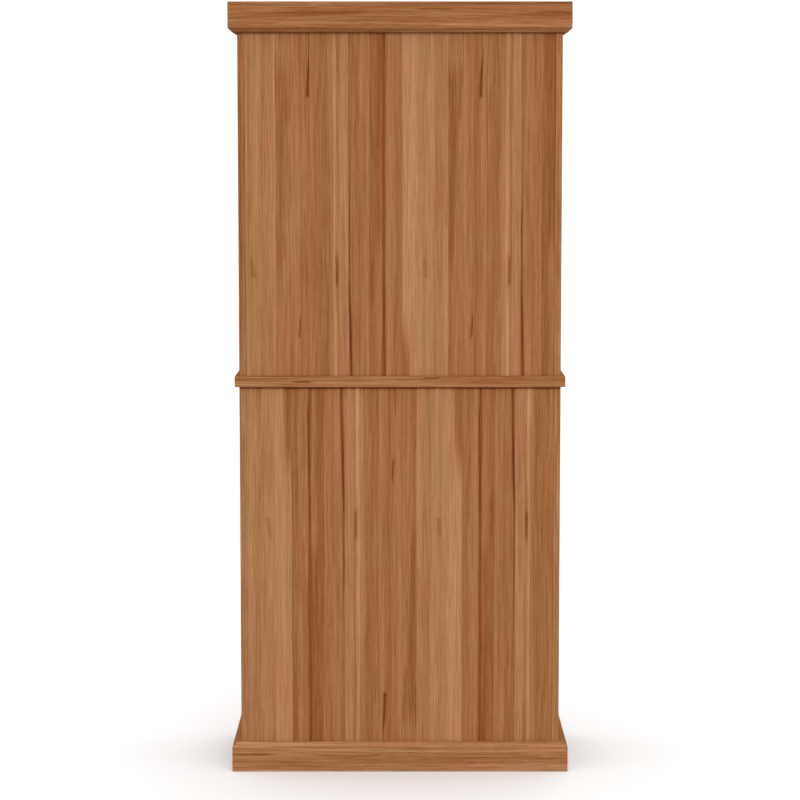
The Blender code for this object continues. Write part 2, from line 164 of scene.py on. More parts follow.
# For each back panel: which way the pattern runs, and where it starts, in mm.
PATTERN_PLACES = {
    "upper_back_panel": (-1, -5.0, 1760.0),
    "lower_back_panel": (1, 148.0, -36.0),
}
# Streaks of the rear mouldings, in the same form, with their height across and X along.
MOULDING_MARKS = {
    "crown_rear": (
        ((1815, 1814), (180, 305), (1.8, 1.0), -27, (0.2, 0.4)),
        ((1813, 1813), (-20, 190), (1.0, 1.0), -14, (0.1, 0.2)),
        ((1811, 1813), (-130, -20), (1.5, 2.0), -26, (0.2, 0.3)),
        ((1796, 1797), (-265, -130), (1.3, 1.0), -15, (0.3, 0.3)),
        ((1803, 1801), (60, 300), (6.0, 4.0), -8, (0.3, 0.3)),
        ((1777, 1775), (-300, -60), (5.0, 4.0), 9, (0.3, 0.3)),
        ((1779, 1776), (120, 380), (5.0, 4.0), 7, (0.3, 0.3)),
        ((1788, 1787), (60, 130), (1.4, 1.0), -12, (0.3, 0.3)),
    ),
    "waist_board": (
        ((939, 938), (203, 262), (3.4, 2.2), -38, (0.3, 0.3)),
        ((948, 946), (-100, -48), (2.2, 1.6), -32, (0.3, 0.3)),
        ((934, 933), (-300, -120), (3.0, 3.0), -7, (0.3, 0.3)),
    ),
    "base_rear": (
        ((41, 40), (46, 84), (2.8, 1.4), -26, (0.15, 0.4)),
        ((40, 38), (70, 228), (1.6, 1.2), -24, (0.2, 0.3)),
        ((41, 42), (286, 415), (1.8, 2.8), -34, (0.3, 0.1)),
        ((52, 53), (230, 400), (3.0, 3.0), -7, (0.3, 0.3)),
        ((30, 29), (120, 330), (1.4, 1.4), -10, (0.3, 0.3)),
    ),
}
# Painted shade: the dark line of shadow under a moulding, on the outside faces below the crown and the
# waist board. Where in mm it starts and ends fading, and its tone.
PAINTED_SHADE_UNDER_MOULDINGS = {"crown_rear": ((0.5, 4.0), -28.0), "waist_board": ((2.5, 9.0), -46.0)}
MOULDING_TONES = {"crown_rear": 106.0, "waist_board": 120.0, "base_rear": 124.0}


class Graph:
    """Builds a node tree with calls that read like expressions."""

    def __init__(self, tree):
        self.nodes = tree.nodes
        self.links = tree.links

    def add(self, kind, **settings):
        node = self.nodes.new(f"ShaderNode{kind}")
        for name, value in settings.items():
            setattr(node, name, value)
        return node

    def feed(self, socket, value):
        """Links a socket to an input, or sets the input's own value."""
        if isinstance(value, bpy.types.NodeSocket):
            self.links.new(value, socket)
        else:
            socket.default_value = value

    def math(self, operation, *values):
        node = self.add("Math", operation=operation)
        for socket, value in zip(node.inputs, values):
            self.feed(socket, value)
        return node.outputs[0]

    def total(self, first, *others):
        for other in others:
            first = self.math("ADD", first, other)
        return first

    def scaled(self, value, factor, offset=0.0):
        return self.math("MULTIPLY_ADD", value, factor, offset)

    def spread(self, value, low, high, to_low=0.0, to_high=1.0, kind="SMOOTHSTEP"):
        """Maps a value from one range to another, clamped, in a soft step or a straight line."""
        node = self.add("MapRange", interpolation_type=kind)
        for name, given in (
            ("Value", value),
            ("From Min", low),
            ("From Max", high),
            ("To Min", to_low),
            ("To Max", to_high),
        ):
            self.feed(node.inputs[name], given)
        return node.outputs["Result"]

    def vector(self, x, y, z):
        node = self.add("CombineXYZ")
        for socket, value in zip(node.inputs, (x, y, z)):
            self.feed(socket, value)
        return node.outputs[0]

    def split(self, vector):
        node = self.add("SeparateXYZ")
        self.feed(node.inputs[0], vector)
        return list(node.outputs)

    def noise(self, place, across, along, detail=2.0, roughness=0.5):
        """Noise about zero, of a size across and along the grain, in mm."""
        shrink = self.add("VectorMath", operation="MULTIPLY")
        self.feed(shrink.inputs[0], place)
        shrink.inputs[1].default_value = (1 / across, 1 / across, 1 / along)
        node = self.add("TexNoise")
        self.feed(node.inputs["Vector"], shrink.outputs[0])
        node.inputs["Scale"].default_value = 1.0
        node.inputs["Detail"].default_value = detail
        node.inputs["Roughness"].default_value = roughness
        return self.math("SUBTRACT", node.outputs[0], 0.5)

    def ramp(self, value, stops):
        """A colour ramp through (position, colour) stops, linear between them."""
        node = self.add("ValToRGB")
        elements = node.color_ramp.elements
        while len(elements) > 1:
            elements.remove(elements[-1])
        elements[0].position, elements[0].color = stops[0][0], (*stops[0][1], 1.0)
        for position, colour in stops[1:]:
            elements.new(position).color = (*colour, 1.0)
        self.feed(node.inputs["Fac"], value)
        return node.outputs["Color"]

    def mixed(self, share, first, second, blend="MIX"):
        node = self.add("Mix", data_type="RGBA", blend_type=blend)
        self.feed(node.inputs["Factor"], share)
        for socket, value in ((node.inputs[6], first), (node.inputs[7], second)):
            if isinstance(value, bpy.types.NodeSocket):
                self.links.new(value, socket)
            else:
                socket.default_value = (*value, 1.0)
        return node.outputs[2]

    def relief(self, shader, height, strength, distance):
        """Feeds a shader's normal from a surface height."""
        bump = self.add("Bump")
        bump.inputs["Strength"].default_value = strength
        bump.inputs["Distance"].default_value = distance
        self.links.new(height, bump.inputs["Height"])
        self.links.new(bump.outputs["Normal"], shader.inputs["Normal"])

    def place_in_mm(self):
        scaled = self.add("VectorMath", operation="SCALE")
        self.feed(scaled.inputs[0], self.add("TexCoord").outputs["Object"])
        scaled.inputs["Scale"].default_value = MM
        return scaled.outputs[0]


def new_material(name, viewport_colour):
    """A node material with an empty Principled shader, and its graph."""
    made = bpy.data.materials.new(name)
    made.use_nodes = True
    made.diffuse_color = (*viewport_colour, 1.0)
    return made, Graph(made.node_tree), made.node_tree.nodes["Principled BSDF"]


# Wood --------------------------------------------------------------------------------

# The two axes across the grain and the one along it, as indices of X, Y and Z. Staves
# lie side by side along the first.
GRAIN_AXES = {
    "z_over_x": (0, 1, 2),
    "z_over_y": (1, 0, 2),
    "x_over_y": (1, 2, 0),
    "x_over_z": (2, 1, 0),
    "y_over_z": (2, 0, 1),
}
SHIFT_ACROSS, SHIFT_THROUGH, SHIFT_ALONG = 217.0, 391.0, 1730.0
STAVE_STEPS = (93.0, 131.0)
# Layers of the grain: width and length in mm, detail and roughness of the noise, and the
# change of tone.
GRAIN_LAYERS = {
    "broad": (26.0, 1100.0, 1.5, 0.5, 26.0),
    "bands": (9.0, 520.0, 2.0, 0.5, 38.0),
    "streaks": (3.2, 210.0, 3.0, 0.6, 48.0),
    "strokes": (2.3, 85.0, 2.0, 0.55, 46.0),
    "fibres": (0.75, 26.0, 2.0, 0.5, 34.0),
    "pores": (0.9, 11.0, 1.0, 0.5, -10.0),
    "dashes": (1.7, 46.0, 2.0, 0.6, -28.0),
    "mineral": (5.0, 190.0, 2.5, 0.5, -17.0),
    "late_wood": (60.0, 2300.0, 0.5, 0.5, -3.0),
}
GRAIN_RELIEF = {"fibres": 0.7, "streaks": 0.5, "pores": -0.9}
GRAIN_BEND, GRAIN_BEND_LENGTH = 9.0, 420.0


def grain_place(graph, axes):
    """Places across, through and along a board in mm, shifted for each piece."""
    corners = graph.split(graph.add("TexCoord").outputs["Object"])
    piece = graph.add("Attribute", attribute_type="OBJECT", attribute_name="grain_shift")
    shift = piece.outputs["Fac"]
    shifts = (SHIFT_ACROSS, SHIFT_THROUGH, SHIFT_ALONG)
    places = [
        graph.math("ADD", graph.scaled(corners[axis], MM), graph.scaled(shift, step))
        for axis, step in zip(GRAIN_AXES[axes], shifts)
    ]
    return places, shift


def fine_grain(graph, across, through, along, strength=1.0):
    """Change of tone, surface height, pore mask and late wood of straight grain."""
    drift = graph.noise(graph.vector(0.0, 0.0, along), 1.0, GRAIN_BEND_LENGTH, detail=1.0)
    across = graph.math("ADD", across, graph.scaled(drift, GRAIN_BEND))
    place = graph.vector(across, through, along)

    layers = {
        name: graph.noise(place, width, length, detail, roughness)
        for name, (width, length, detail, roughness, _) in GRAIN_LAYERS.items()
    }
    dash_area = graph.spread(graph.noise(place, 34.0, 330.0), -0.10, 0.16, 0.15, 1.0)
    layers["pores"] = graph.spread(layers["pores"], 0.13, 0.24)
    layers["dashes"] = graph.math("MULTIPLY", graph.spread(layers["dashes"], 0.10, 0.26), dash_area)
    layers["mineral"] = graph.spread(layers["mineral"], 0.17, 0.30)
    ring = graph.math("PINGPONG", graph.scaled(layers["late_wood"], 40.0, 20.0), 1.0)
    layers["late_wood"] = graph.spread(ring, 0.55, 1.0)

    changes = (graph.scaled(layers[name], row[-1] * strength) for name, row in GRAIN_LAYERS.items())
    tone = graph.total(*changes)
    height = graph.total(*(graph.scaled(layers[name], rise) for name, rise in GRAIN_RELIEF.items()))
    return tone, height, layers["pores"], layers["late_wood"]


def streak(graph, across, along, mark):
    """Change of tone of one tapered streak: see PATTERN_MARKS for its numbers."""
    (side_start, side_end), (start, end), (half_start, half_end), change, ends = mark
    length = end - start
    reach = graph.spread(along, start, end, kind="LINEAR")
    middle = graph.scaled(reach, side_end - side_start, side_start)
    half = graph.scaled(reach, half_end - half_start, half_start)
    off_middle = graph.math("ABSOLUTE", graph.math("SUBTRACT", across, middle))
    body = graph.spread(graph.math("DIVIDE", off_middle, half), 0.35, 1.15, 1.0, 0.0)
    rising = graph.spread(along, start, start + ends[0] * length)
    falling = graph.spread(along, end - ends[1] * length, end, change, 0.0)
    return graph.math("MULTIPLY", body, graph.math("MULTIPLY", rising, falling))


def wood_shader(graph, shader, tone, height, pores, hue_place, hue_shift):
    """Feeds a matte Principled shader from a tone, a surface height and a pore mask."""
    stops = [((level - TONE_LOW) / TONE_SPAN, colour) for level, colour in WOOD_COLOURS]
    colour = graph.ramp(graph.scaled(tone, 1 / TONE_SPAN, -TONE_LOW / TONE_SPAN), stops)
    warmth = graph.total(
        graph.noise(hue_place, 30.0, 300.0, detail=1.5),
        graph.scaled(graph.noise(hue_place, 9.0, 90.0, detail=2.0), 0.35),
        hue_shift,
    )
    pinkish = graph.spread(warmth, 0.0, HUE_REACH, kind="LINEAR")
    golden = graph.spread(warmth, 0.0, -HUE_REACH, kind="LINEAR")
    colour = graph.mixed(pinkish, colour, PINKISH, "MULTIPLY")
    colour = graph.mixed(golden, colour, GOLDEN, "MULTIPLY")
    graph.links.new(colour, shader.inputs["Base Color"])

    sheen_noise = graph.noise(hue_place, 12.0, 160.0, detail=2.0)
    roughness = graph.total(
        graph.scaled(sheen_noise, 0.16, 0.45),
        graph.scaled(pores, 0.12),
    )
    graph.links.new(roughness, shader.inputs["Roughness"])
    shader.inputs["Specular IOR Level"].default_value = 0.0

    graph.relief(shader, height, 0.35, 0.0003)


def end_grain(graph, axes):
    """Share of end grain, from how far the surface faces along the grain."""
    facing = graph.split(graph.add("TexCoord").outputs["Normal"])[GRAIN_AXES[axes][2]]
    return graph.spread(graph.math("ABSOLUTE", facing), 0.7, 0.95)


def painted_shade_under_mouldings(graph, place):
    """Painted shade: a darker tone on outside faces just under the crown and the waist board, where
    their shadow falls.
    """
    x, _, z = graph.split(place)
    height = graph.scaled(z, MM)
    normal = graph.split(graph.add("TexCoord").outputs["Normal"])
    sideways = graph.math("MULTIPLY", graph.math("SIGN", x), normal[0])
    outside = graph.spread(graph.math("MAXIMUM", sideways, normal[1]), 0.4, 0.6)
    painted_shadow_lines = []
    for node, (reach, change) in PAINTED_SHADE_UNDER_MOULDINGS.items():
        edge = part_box(node)[0].z * MM
        below = graph.math("ABSOLUTE", graph.math("SUBTRACT", height, edge))
        painted_shadow_lines.append(graph.spread(below, *reach, change, 0.0))
    return graph.math("MULTIPLY", graph.total(*painted_shadow_lines), outside)


def plain_wood(name, axes, base_tone, staves=False, marks=(), strength=1.0):
    """Wood of a board, with its grain along one axis. Staves give each its own tone."""
    made, graph, shader = new_material(name, WOOD_COLOURS[4][1])
    (across, through, along), shift = grain_place(graph, axes)
    random = graph.add("TexWhiteNoise", noise_dimensions="1D")
    seed = graph.scaled(shift, 3.7, 0.5)
    if staves:
        steps = [graph.math("FLOOR", graph.math("DIVIDE", across, step)) for step in STAVE_STEPS]
        seed = graph.total(seed, graph.scaled(steps[0], 17.0), steps[1])
    graph.feed(random.inputs["W"], seed)
    first, second, third = graph.split(random.outputs["Color"])
    along = graph.math("ADD", along, graph.scaled(second, 2900.0))

    tone, height, pores, late_wood = fine_grain(graph, across, through, along, strength)
    spread = 22.0 if staves else 12.0
    tone = graph.total(tone, graph.scaled(first, spread, base_tone - spread / 2))
    if marks:
        corners = graph.split(graph.add("TexCoord").outputs["Object"])
        x, z = graph.scaled(corners[0], MM), graph.scaled(corners[2], MM)
        tone = graph.total(tone, *(streak(graph, z, x, mark) for mark in marks))
    # Side boards get painted shade on their outside faces, under the crown and the waist board.
    if axes == "z_over_y":
        painted_shadow_lines = painted_shade_under_mouldings(graph, graph.add("TexCoord").outputs["Object"])
        tone = graph.math("ADD", tone, painted_shadow_lines)
    end = end_grain(graph, axes)
    end_tone = graph.math("MULTIPLY", end, graph.scaled(late_wood, -9.0, -10.0))
    tone = graph.math("ADD", tone, end_tone)
    hue_place = graph.vector(across, through, along)
    hue_shift = graph.scaled(third, 0.16, -0.08)
    wood_shader(graph, shader, tone, height, pores, hue_place, hue_shift)
    return made


def pattern_tone(graph, across):
    """Tone of the staves' bands, from the place across the pattern in mm.

    Two ramps share the bands, because one holds 32 stops. Each keeps its end value
    past its own half, so their sum less the shared value is the whole.
    """
    half_width = PATTERN_WIDTH / 2
    halves = ([], [])
    start = 0.0
    shared = None
    for end, tone in PATTERN_BANDS:
        level = (tone - TONE_LOW) / TONE_SPAN
        for half, low in zip(halves, (0.0, half_width)):
            inner = max(start + BAND_SOFTNESS, low), min(end - BAND_SOFTNESS, low + half_width)
            if inner[0] < inner[1]:
                half += [((place - low) / half_width, (level,) * 3) for place in inner]
        if start < half_width <= end:
            shared = level
        start = end
    ramps = [
        graph.ramp(graph.scaled(across, 1 / half_width, -n), half)
        for n, half in enumerate(halves)
    ]
    return graph.scaled(graph.total(*ramps, -shared), TONE_SPAN, TONE_LOW)


def back_wood(node):
    """Wood of a back panel, with its repeating pattern of staves."""
    direction, across_start, along_start = PATTERN_PLACES[node]
    made, graph, shader = new_material(f"{node}_wood", WOOD_COLOURS[5][1])
    x, y, z = graph.split(graph.add("TexCoord").outputs["Object"])
    across = graph.scaled(x, direction * MM, across_start)
    along = graph.scaled(z, direction * MM, along_start)
    through = graph.scaled(y, MM)
    wander = graph.noise(graph.vector(0.0, 0.0, along), 1.0, 260.0, detail=1.5)
    pattern = graph.math("WRAP", across, PATTERN_WIDTH, 0.0)
    wandering = graph.math("ADD", pattern, graph.scaled(wander, 5.0))

    tone, height, pores, _ = fine_grain(graph, across, through, along)
    tone = graph.total(graph.scaled(tone, 0.87), pattern_tone(graph, wandering))
    tone = graph.total(tone, *(streak(graph, wandering, along, mark) for mark in PATTERN_MARKS))
    # Painted shade on the panel's outside face, under the crown and the waist board.
    tone = graph.math("ADD", tone, painted_shade_under_mouldings(graph, graph.vector(x, y, z)))
    redness = graph.total(*(streak(graph, wandering, along, mark) for mark in PATTERN_REDNESS))
    hue_place = graph.vector(across, through, along)
    wood_shader(graph, shader, tone, height, pores, hue_place, redness)
    return made


def build_woods():
    woods = {
        "upright": plain_wood("upright_wood", "z_over_x", 112.0),
        "upright_staves": plain_wood("upright_stave_wood", "z_over_x", 117.0, staves=True),
        "side": plain_wood("side_wood", "z_over_y", 122.0, staves=True, strength=1.3),
        "level_staves": plain_wood("level_stave_wood", "x_over_y", 118.0, staves=True),
        "level": plain_wood("level_wood", "x_over_z", 113.0),
        "deep": plain_wood("deep_wood", "y_over_z", 113.0),
    }
    for node, marks in MOULDING_MARKS.items():
        woods[node] = plain_wood(
            f"{node}_wood", "x_over_z", MOULDING_TONES[node], marks=marks, strength=1.35
        )
    for node in PATTERN_PLACES:
        woods[node] = back_wood(node)
    return woods


# Metals and plastic ------------------------------------------------------------------


def metal(name, colour, worn_colour, roughness, metallic=1.0):
    """Metal with cloudy tarnish, rubbed patches and a fine grain."""
    made, graph, shader = new_material(name, colour)
    place = graph.place_in_mm()
    clouds = graph.noise(place, 7.0, 7.0, detail=4.0)
    grain = graph.noise(place, 0.6, 0.6, detail=2.0)
    worn = graph.spread(graph.total(clouds, graph.scaled(grain, 0.35)), 0.02, 0.22)
    graph.links.new(graph.mixed(worn, colour, worn_colour), shader.inputs["Base Color"])
    rough = graph.total(graph.scaled(clouds, -0.22, roughness), graph.scaled(grain, 0.12))
    graph.links.new(rough, shader.inputs["Roughness"])
    shader.inputs["Metallic"].default_value = metallic
    graph.relief(shader, graph.total(grain, clouds), 0.2, 0.0001)
    return made


def plastic(name, colour):
    """Moulded plastic with a fine leathery texture."""
    made, graph, shader = new_material(name, colour)
    place = graph.place_in_mm()
    pebbles = graph.noise(place, 0.45, 0.45, detail=1.0)
    clouds = graph.noise(place, 9.0, 9.0, detail=3.0)
    lighter = tuple(min(1.0, 1.5 * part) for part in colour)
    share = graph.spread(clouds, -0.25, 0.25)
    graph.links.new(graph.mixed(share, colour, lighter), shader.inputs["Base Color"])
    graph.links.new(graph.scaled(clouds, 0.2, 0.5), shader.inputs["Roughness"])
    graph.relief(shader, pebbles, 0.3, 0.0001)
    return made


# Pieces ------------------------------------------------------------------------------


WELD_DISTANCE = 0.00002
grain_shifts = itertools.count(1)


def finish_piece(obj, look, soft_edge=None, flat=True):
    """Gives an object its material, its own shift of the grain and softened edges."""
    obj["grain_shift"] = float(next(grain_shifts))
    obj.data.materials.clear()
    obj.data.materials.append(look)
    if flat:
        custom = obj.data.attributes.get("custom_normal")
        if custom:
            obj.data.attributes.remove(custom)
        obj.data.shade_flat()
    if soft_edge:
        weld = obj.modifiers.new("weld", "WELD")
        weld.merge_threshold = WELD_DISTANCE
        planar = obj.modifiers.new("planar", "DECIMATE")
        planar.decimate_type = "DISSOLVE"
        planar.angle_limit = math.radians(1)
        bevel = obj.modifiers.new("soft_edges", "BEVEL")
        bevel.width = soft_edge
        bevel.segments = 3
        bevel.limit_method = "ANGLE"
        bevel.angle_limit = math.radians(30)


def new_piece(name, mesh, body, look, soft_edge=None, flat=True):
    """Adds a piece whose mesh is in its place in the row frame, riding on a body."""
    mesh.name = name
    made = bpy.data.objects.new(name, mesh)
    bpy.context.scene.collection.objects.link(made)
    finish_piece(made, look, soft_edge, flat)
    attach(made, body)
    return made


def mesh_of(shape):
    """The mesh of a bmesh, which is freed."""
    made = bpy.data.meshes.new("piece")
    bmesh.ops.recalc_face_normals(shape, faces=shape.faces)
    if shape.calc_volume(signed=True) < 0:
        bmesh.ops.reverse_faces(shape, faces=shape.faces)
    shape.to_mesh(made)
    shape.free()
    return made


def block(low, high):
    """A bmesh block between two corners."""
    shape = bmesh.new()
    low, high = Vector(low), Vector(high)
    bmesh.ops.create_cube(shape, size=1.0)
    bmesh.ops.scale(shape, vec=high - low, verts=shape.verts)
    bmesh.ops.translate(shape, vec=(low + high) / 2, verts=shape.verts)
    return shape


def turned(outline, segments):
    """A bmesh turned about Z from (radius, height) points that start and end at radius 0."""
    shape = bmesh.new()
    rings = []
    for radius, height in outline:
        if radius == 0:
            rings.append([shape.verts.new((0.0, 0.0, height))])
            continue
        angles = (math.tau * n / segments for n in range(segments))
        rings.append(
            [
                shape.verts.new((radius * math.cos(turn), radius * math.sin(turn), height))
                for turn in angles
            ]
        )
    for lower, upper in zip(rings, rings[1:]):
        for n in range(segments):
            corners = [
                lower[n % len(lower)],
                lower[(n + 1) % len(lower)],
                upper[(n + 1) % len(upper)],
                upper[n % len(upper)],
            ]
            distinct = list(dict.fromkeys(corners))
            shape.faces.new(distinct)
    return shape


def arc(centre, radii, start, end, steps):
    """Points on an elliptical arc between two angles in degrees."""
    turns = (math.radians(start + (end - start) * n / steps) for n in range(steps + 1))
    return [
        (centre[0] + radii[0] * math.cos(turn), centre[1] + radii[1] * math.sin(turn))
        for turn in turns
    ]


def moved(mesh, matrix):
    """A copy of a mesh in another place."""
    made = mesh.copy()
    made.transform(matrix)
    if matrix.determinant() < 0:
        made.flip_normals()
    return made


def combined(base, others):
    """The mesh of a base mesh after (mesh, "UNION" or "DIFFERENCE") steps."""
    body = bpy.data.objects.new("base", base)
    bpy.context.scene.collection.objects.link(body)
    helpers = []
    for mesh, operation in others:
        helper = bpy.data.objects.new("helper", mesh)
        bpy.context.scene.collection.objects.link(helper)
        helpers.append(helper)
        modifier = body.modifiers.new("combine", "BOOLEAN")
        modifier.operation = operation
        modifier.solver = "EXACT"
        modifier.object = helper
    bpy.context.view_layer.update()
    graph = bpy.context.evaluated_depsgraph_get()
    made = bpy.data.meshes.new_from_object(body.evaluated_get(graph))
    for helper in (body, *helpers):
        bpy.data.objects.remove(helper, do_unlink=True)
    if not made.polygons:
        raise ValueError(f"combining {base.name} left nothing")
    return made


# Boards ------------------------------------------------------------------------------

STILE_WIDTH = 0.058
# How far the edges of each kind of piece are softened.
BOARD_EDGE, BACK_EDGE, MOULDING_EDGE = 0.0006, 0.0004, 0.0008
WAIST_EDGE, CLEAT_EDGE, SHELF_EDGE = 0.0010, 0.0010, 0.0015
PANEL_EDGE, DOOR_FRAME_EDGE = 0.0008, 0.0005


def dress_boards(woods):
    """The frame's own boards, with softened edges and grain along each board."""
    for section in SECTIONS:
        for side in SIDES:
            finish_piece(NODES[f"{section}_{side}_side"], woods["side"], BOARD_EDGE)
        node = f"{section}_back_panel"
        finish_piece(NODES[node], woods[node], BACK_EDGE)
    for prefix in ("crown", "base"):
        for side in ("rear", "front", "left", "right"):
            node = f"{prefix}_{side}"
            look = woods["deep"] if side in SIDES else woods.get(node, woods["level"])
            finish_piece(NODES[node], look, MOULDING_EDGE)
    finish_piece(NODES["waist_board"], woods["waist_board"], WAIST_EDGE)
    for node in ("top_board", "floor_board"):
        finish_piece(NODES[node], woods["level_staves"], BOARD_EDGE)
    finish_piece(NODES["top_rail"], woods["level"], BOARD_EDGE)
    for name, node in NODES.items():
        if name.endswith("_cleat"):
            finish_piece(node, woods["deep"], CLEAT_EDGE)
        elif "_shelf_" in name:
            finish_piece(node, woods["level_staves"], SHELF_EDGE)
        elif name.endswith("_door_panel"):
            finish_piece(node, woods["upright_staves"], PANEL_EDGE)


def cut_copy(node, planes):
    """A node's mesh cut by (point, outward normal) planes, keeping the inner side."""
    shape = bmesh.new()
    shape.from_mesh(NODES[node].data)
    bmesh.ops.remove_doubles(shape, verts=shape.verts, dist=WELD_DISTANCE)
    for point, normal in planes:
        bmesh.ops.bisect_plane(
            shape,
            geom=[*shape.verts, *shape.edges, *shape.faces],
            dist=WELD_DISTANCE / 4,
            plane_co=point,
            plane_no=normal,
            clear_outer=True,
        )
        open_edges = [edge for edge in shape.edges if edge.is_boundary]
        bmesh.ops.holes_fill(shape, edges=open_edges, sides=0)
    bmesh.ops.dissolve_limit(
        shape, angle_limit=math.radians(1), verts=shape.verts, edges=shape.edges
    )
    return mesh_of(shape)


def build_door_frame(section, side, woods):
    """Two stiles and two rails, parted from the frame's solid along their joints."""
    door = f"{section}_{side}_door"
    node = f"{door}_frame"
    low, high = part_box(node)
    near = Vector((low.x + STILE_WIDTH, 0, 0))
    far = Vector((high.x - STILE_WIDTH, 0, 0))
    middle = (low + high) / 2
    right, up = Vector((1, 0, 0)), Vector((0, 0, 1))
    between = [(near, -right), (far, right)]
    members = {
        "left_stile": ([(near, right)], "upright"),
        "right_stile": ([(far, -right)], "upright"),
        "top_rail": ([*between, (middle, -up)], "level"),
        "bottom_rail": ([*between, (middle, up)], "level"),
    }
    for member, (planes, look) in members.items():
        cut = cut_copy(node, planes)
        name = f"{door}_{member}"
        piece = new_piece(name, cut, door, woods[look], DOOR_FRAME_EDGE)
        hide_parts(node)


# Knobs -------------------------------------------------------------------------------

KNOB_SEGMENTS = 72
KNOB_FOOT_RADIUS, KNOB_NECK_RADIUS, KNOB_HEAD_RADIUS = 0.0090, 0.0058, 0.0155
KNOB_RIM_BELOW_TOP = 0.0100
KNOB_SCREW_RADIUS, KNOB_SCREW_LENGTH = 0.0042, 0.014


def knob_outline(height):
    """Half outline of the knob from its foot to its dome, as (radius, height) points."""
    foot, neck, head = KNOB_FOOT_RADIUS, KNOB_NECK_RADIUS, KNOB_HEAD_RADIUS
    rim = height - KNOB_RIM_BELOW_TOP
    return [
        # rounded foot and the bead over it
        (0.0, 0.0),
        (foot - 0.0004, 0.0),
        *arc((foot - 0.0006, 0.0012), (0.0006, 0.0012), -60, 60, 5),
        (foot - 0.0012, 0.0024),
        (foot - 0.0014, 0.0030),
        # hollow in to the neck, and flare out under the head
        *arc((foot - 0.0014, 0.0072), (foot - 0.0014 - neck, 0.0042), -90, -180, 8),
        *arc((neck + 0.0048, 0.0085), (0.0048, 0.0052), 180, 90, 8),
        # rounded rim, a groove, and the dome
        (head - 0.0022, rim - 0.0029),
        *arc((head - 0.0020, rim), (0.0020, 0.0024), -80, 70, 10),
        (head - 0.0022, rim + 0.0026),
        (head - 0.0028, rim + 0.0023),
        *arc((0.0, rim + 0.0020), (head - 0.0030, height - rim - 0.0020), 0, 90, 16)[:-1],
        (0.0, height),
    ]


def build_knob(section, side, looks):
    """A turned knob, and the screw that holds it from inside the door."""
    door = f"{section}_{side}_door"
    node = f"{door}_knob"
    low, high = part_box(node)
    centre = (low + high) / 2
    out = Matrix.Rotation(math.pi / 2, 4, "X")
    foot = Matrix.Translation((centre.x, high.y, centre.z)) @ out
    mesh = mesh_of(turned(knob_outline(high.y - low.y), KNOB_SEGMENTS))
    mesh.shade_smooth()
    mesh.set_sharp_from_angle(angle=math.radians(40))
    mesh.transform(foot)
    name = f"{door}_turned_knob"
    knob = new_piece(name, mesh, door, looks["bronze"], flat=False)
    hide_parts(node)

    behind = Matrix.Translation((centre.x, DOOR_REAR, centre.z)) @ out.inverted()
    screw = moved(looks["pan_screw"], behind)
    new_piece(f"{door}_knob_screw", screw, door, looks["steel"], flat=False)


# Screws ------------------------------------------------------------------------------

SCREW_SEGMENTS, PAN_SCREW_SEGMENTS = 36, 48
SCREW_TWIST_START, SCREW_TWIST_STEP = 23, 67


def cross_recess(radius, top, depth):
    """The cutter of a cross recess: one closed cross that narrows down from its top."""
    shape = bmesh.new()
    rings = []
    for height, reach, half in (
        (top - depth, radius * 0.35, radius * 0.17),
        (top + depth * 0.2, radius, radius * 0.28),
    ):
        arm = ((reach, -half), (reach, half), (half, half))
        turns = ((1, 0), (0, 1), (-1, 0), (0, -1))
        rings.append(
            [
                shape.verts.new((x * cos - y * sin, x * sin + y * cos, height))
                for cos, sin in turns
                for x, y in arm
            ]
        )
    lower, upper = rings
    shape.faces.new(lower[::-1])
    shape.faces.new(upper)
    for n in range(len(lower)):
        after = (n + 1) % len(lower)
        shape.faces.new((lower[n], lower[after], upper[after], upper[n]))
    return mesh_of(shape)


def flat_screw(radius, length):
    """A countersunk screw whose flat head lies at z = 0, with its shank down -Z."""
    shank = radius * 0.42
    outline = [
        (0.0, 0.0),
        (radius * 0.94, 0.0),
        (radius, -radius * 0.06),
        (radius, -radius * 0.14),
        (shank, -radius * 0.75),
        (shank, -length * 0.8),
        (0.0, -length),
    ]
    body = mesh_of(turned(outline[::-1], SCREW_SEGMENTS))
    made = combined(body, [(cross_recess(radius * 0.55, 0.0, radius * 0.5), "DIFFERENCE")])
    made.set_sharp_from_angle(angle=math.radians(25))
    return made


def pan_screw(radius, length):
    """A pan-headed screw that stands on z = 0, over a washer, with its shank down -Z."""
    washer = radius * 1.35
    thin = 0.0008
    top = thin + radius * 0.62
    outline = [
        (0.0, top),
        *arc((0.0, thin + radius * 0.2), (radius, radius * 0.42), 90, 0, 10)[1:],
        (radius, thin),
        (washer - 0.0002, thin),
        (washer, thin - 0.0002),
        (washer, 0.0),
        (radius * 0.4, 0.0),
        (radius * 0.4, -length),
        (0.0, -length),
    ]
    body = mesh_of(turned(outline[::-1], PAN_SCREW_SEGMENTS))
    made = combined(body, [(cross_recess(radius * 0.6, top, radius * 0.45), "DIFFERENCE")])
    made.set_sharp_from_angle(angle=math.radians(30))
    return made


def joined(meshes):
    """One mesh of several."""
    shape = bmesh.new()
    for mesh in meshes:
        shape.from_mesh(mesh)
    made = bpy.data.meshes.new("joined")
    shape.to_mesh(made)
    shape.free()
    return made


def screws(name, screw, places, facing, body, look):
    """A group of like screws, one piece, whose heads face one way."""
    turn = Vector((0, 0, 1)).rotation_difference(Vector(facing)).to_matrix().to_4x4()
    meshes = []
    for n, place in enumerate(places):
        twist = Matrix.Rotation(math.radians(SCREW_TWIST_START + SCREW_TWIST_STEP * n), 4, "Z")
        meshes.append(moved(screw, Matrix.Translation(place) @ turn @ twist))
    return new_piece(name, joined(meshes), body, look, flat=False)


# Hinges ------------------------------------------------------------------------------

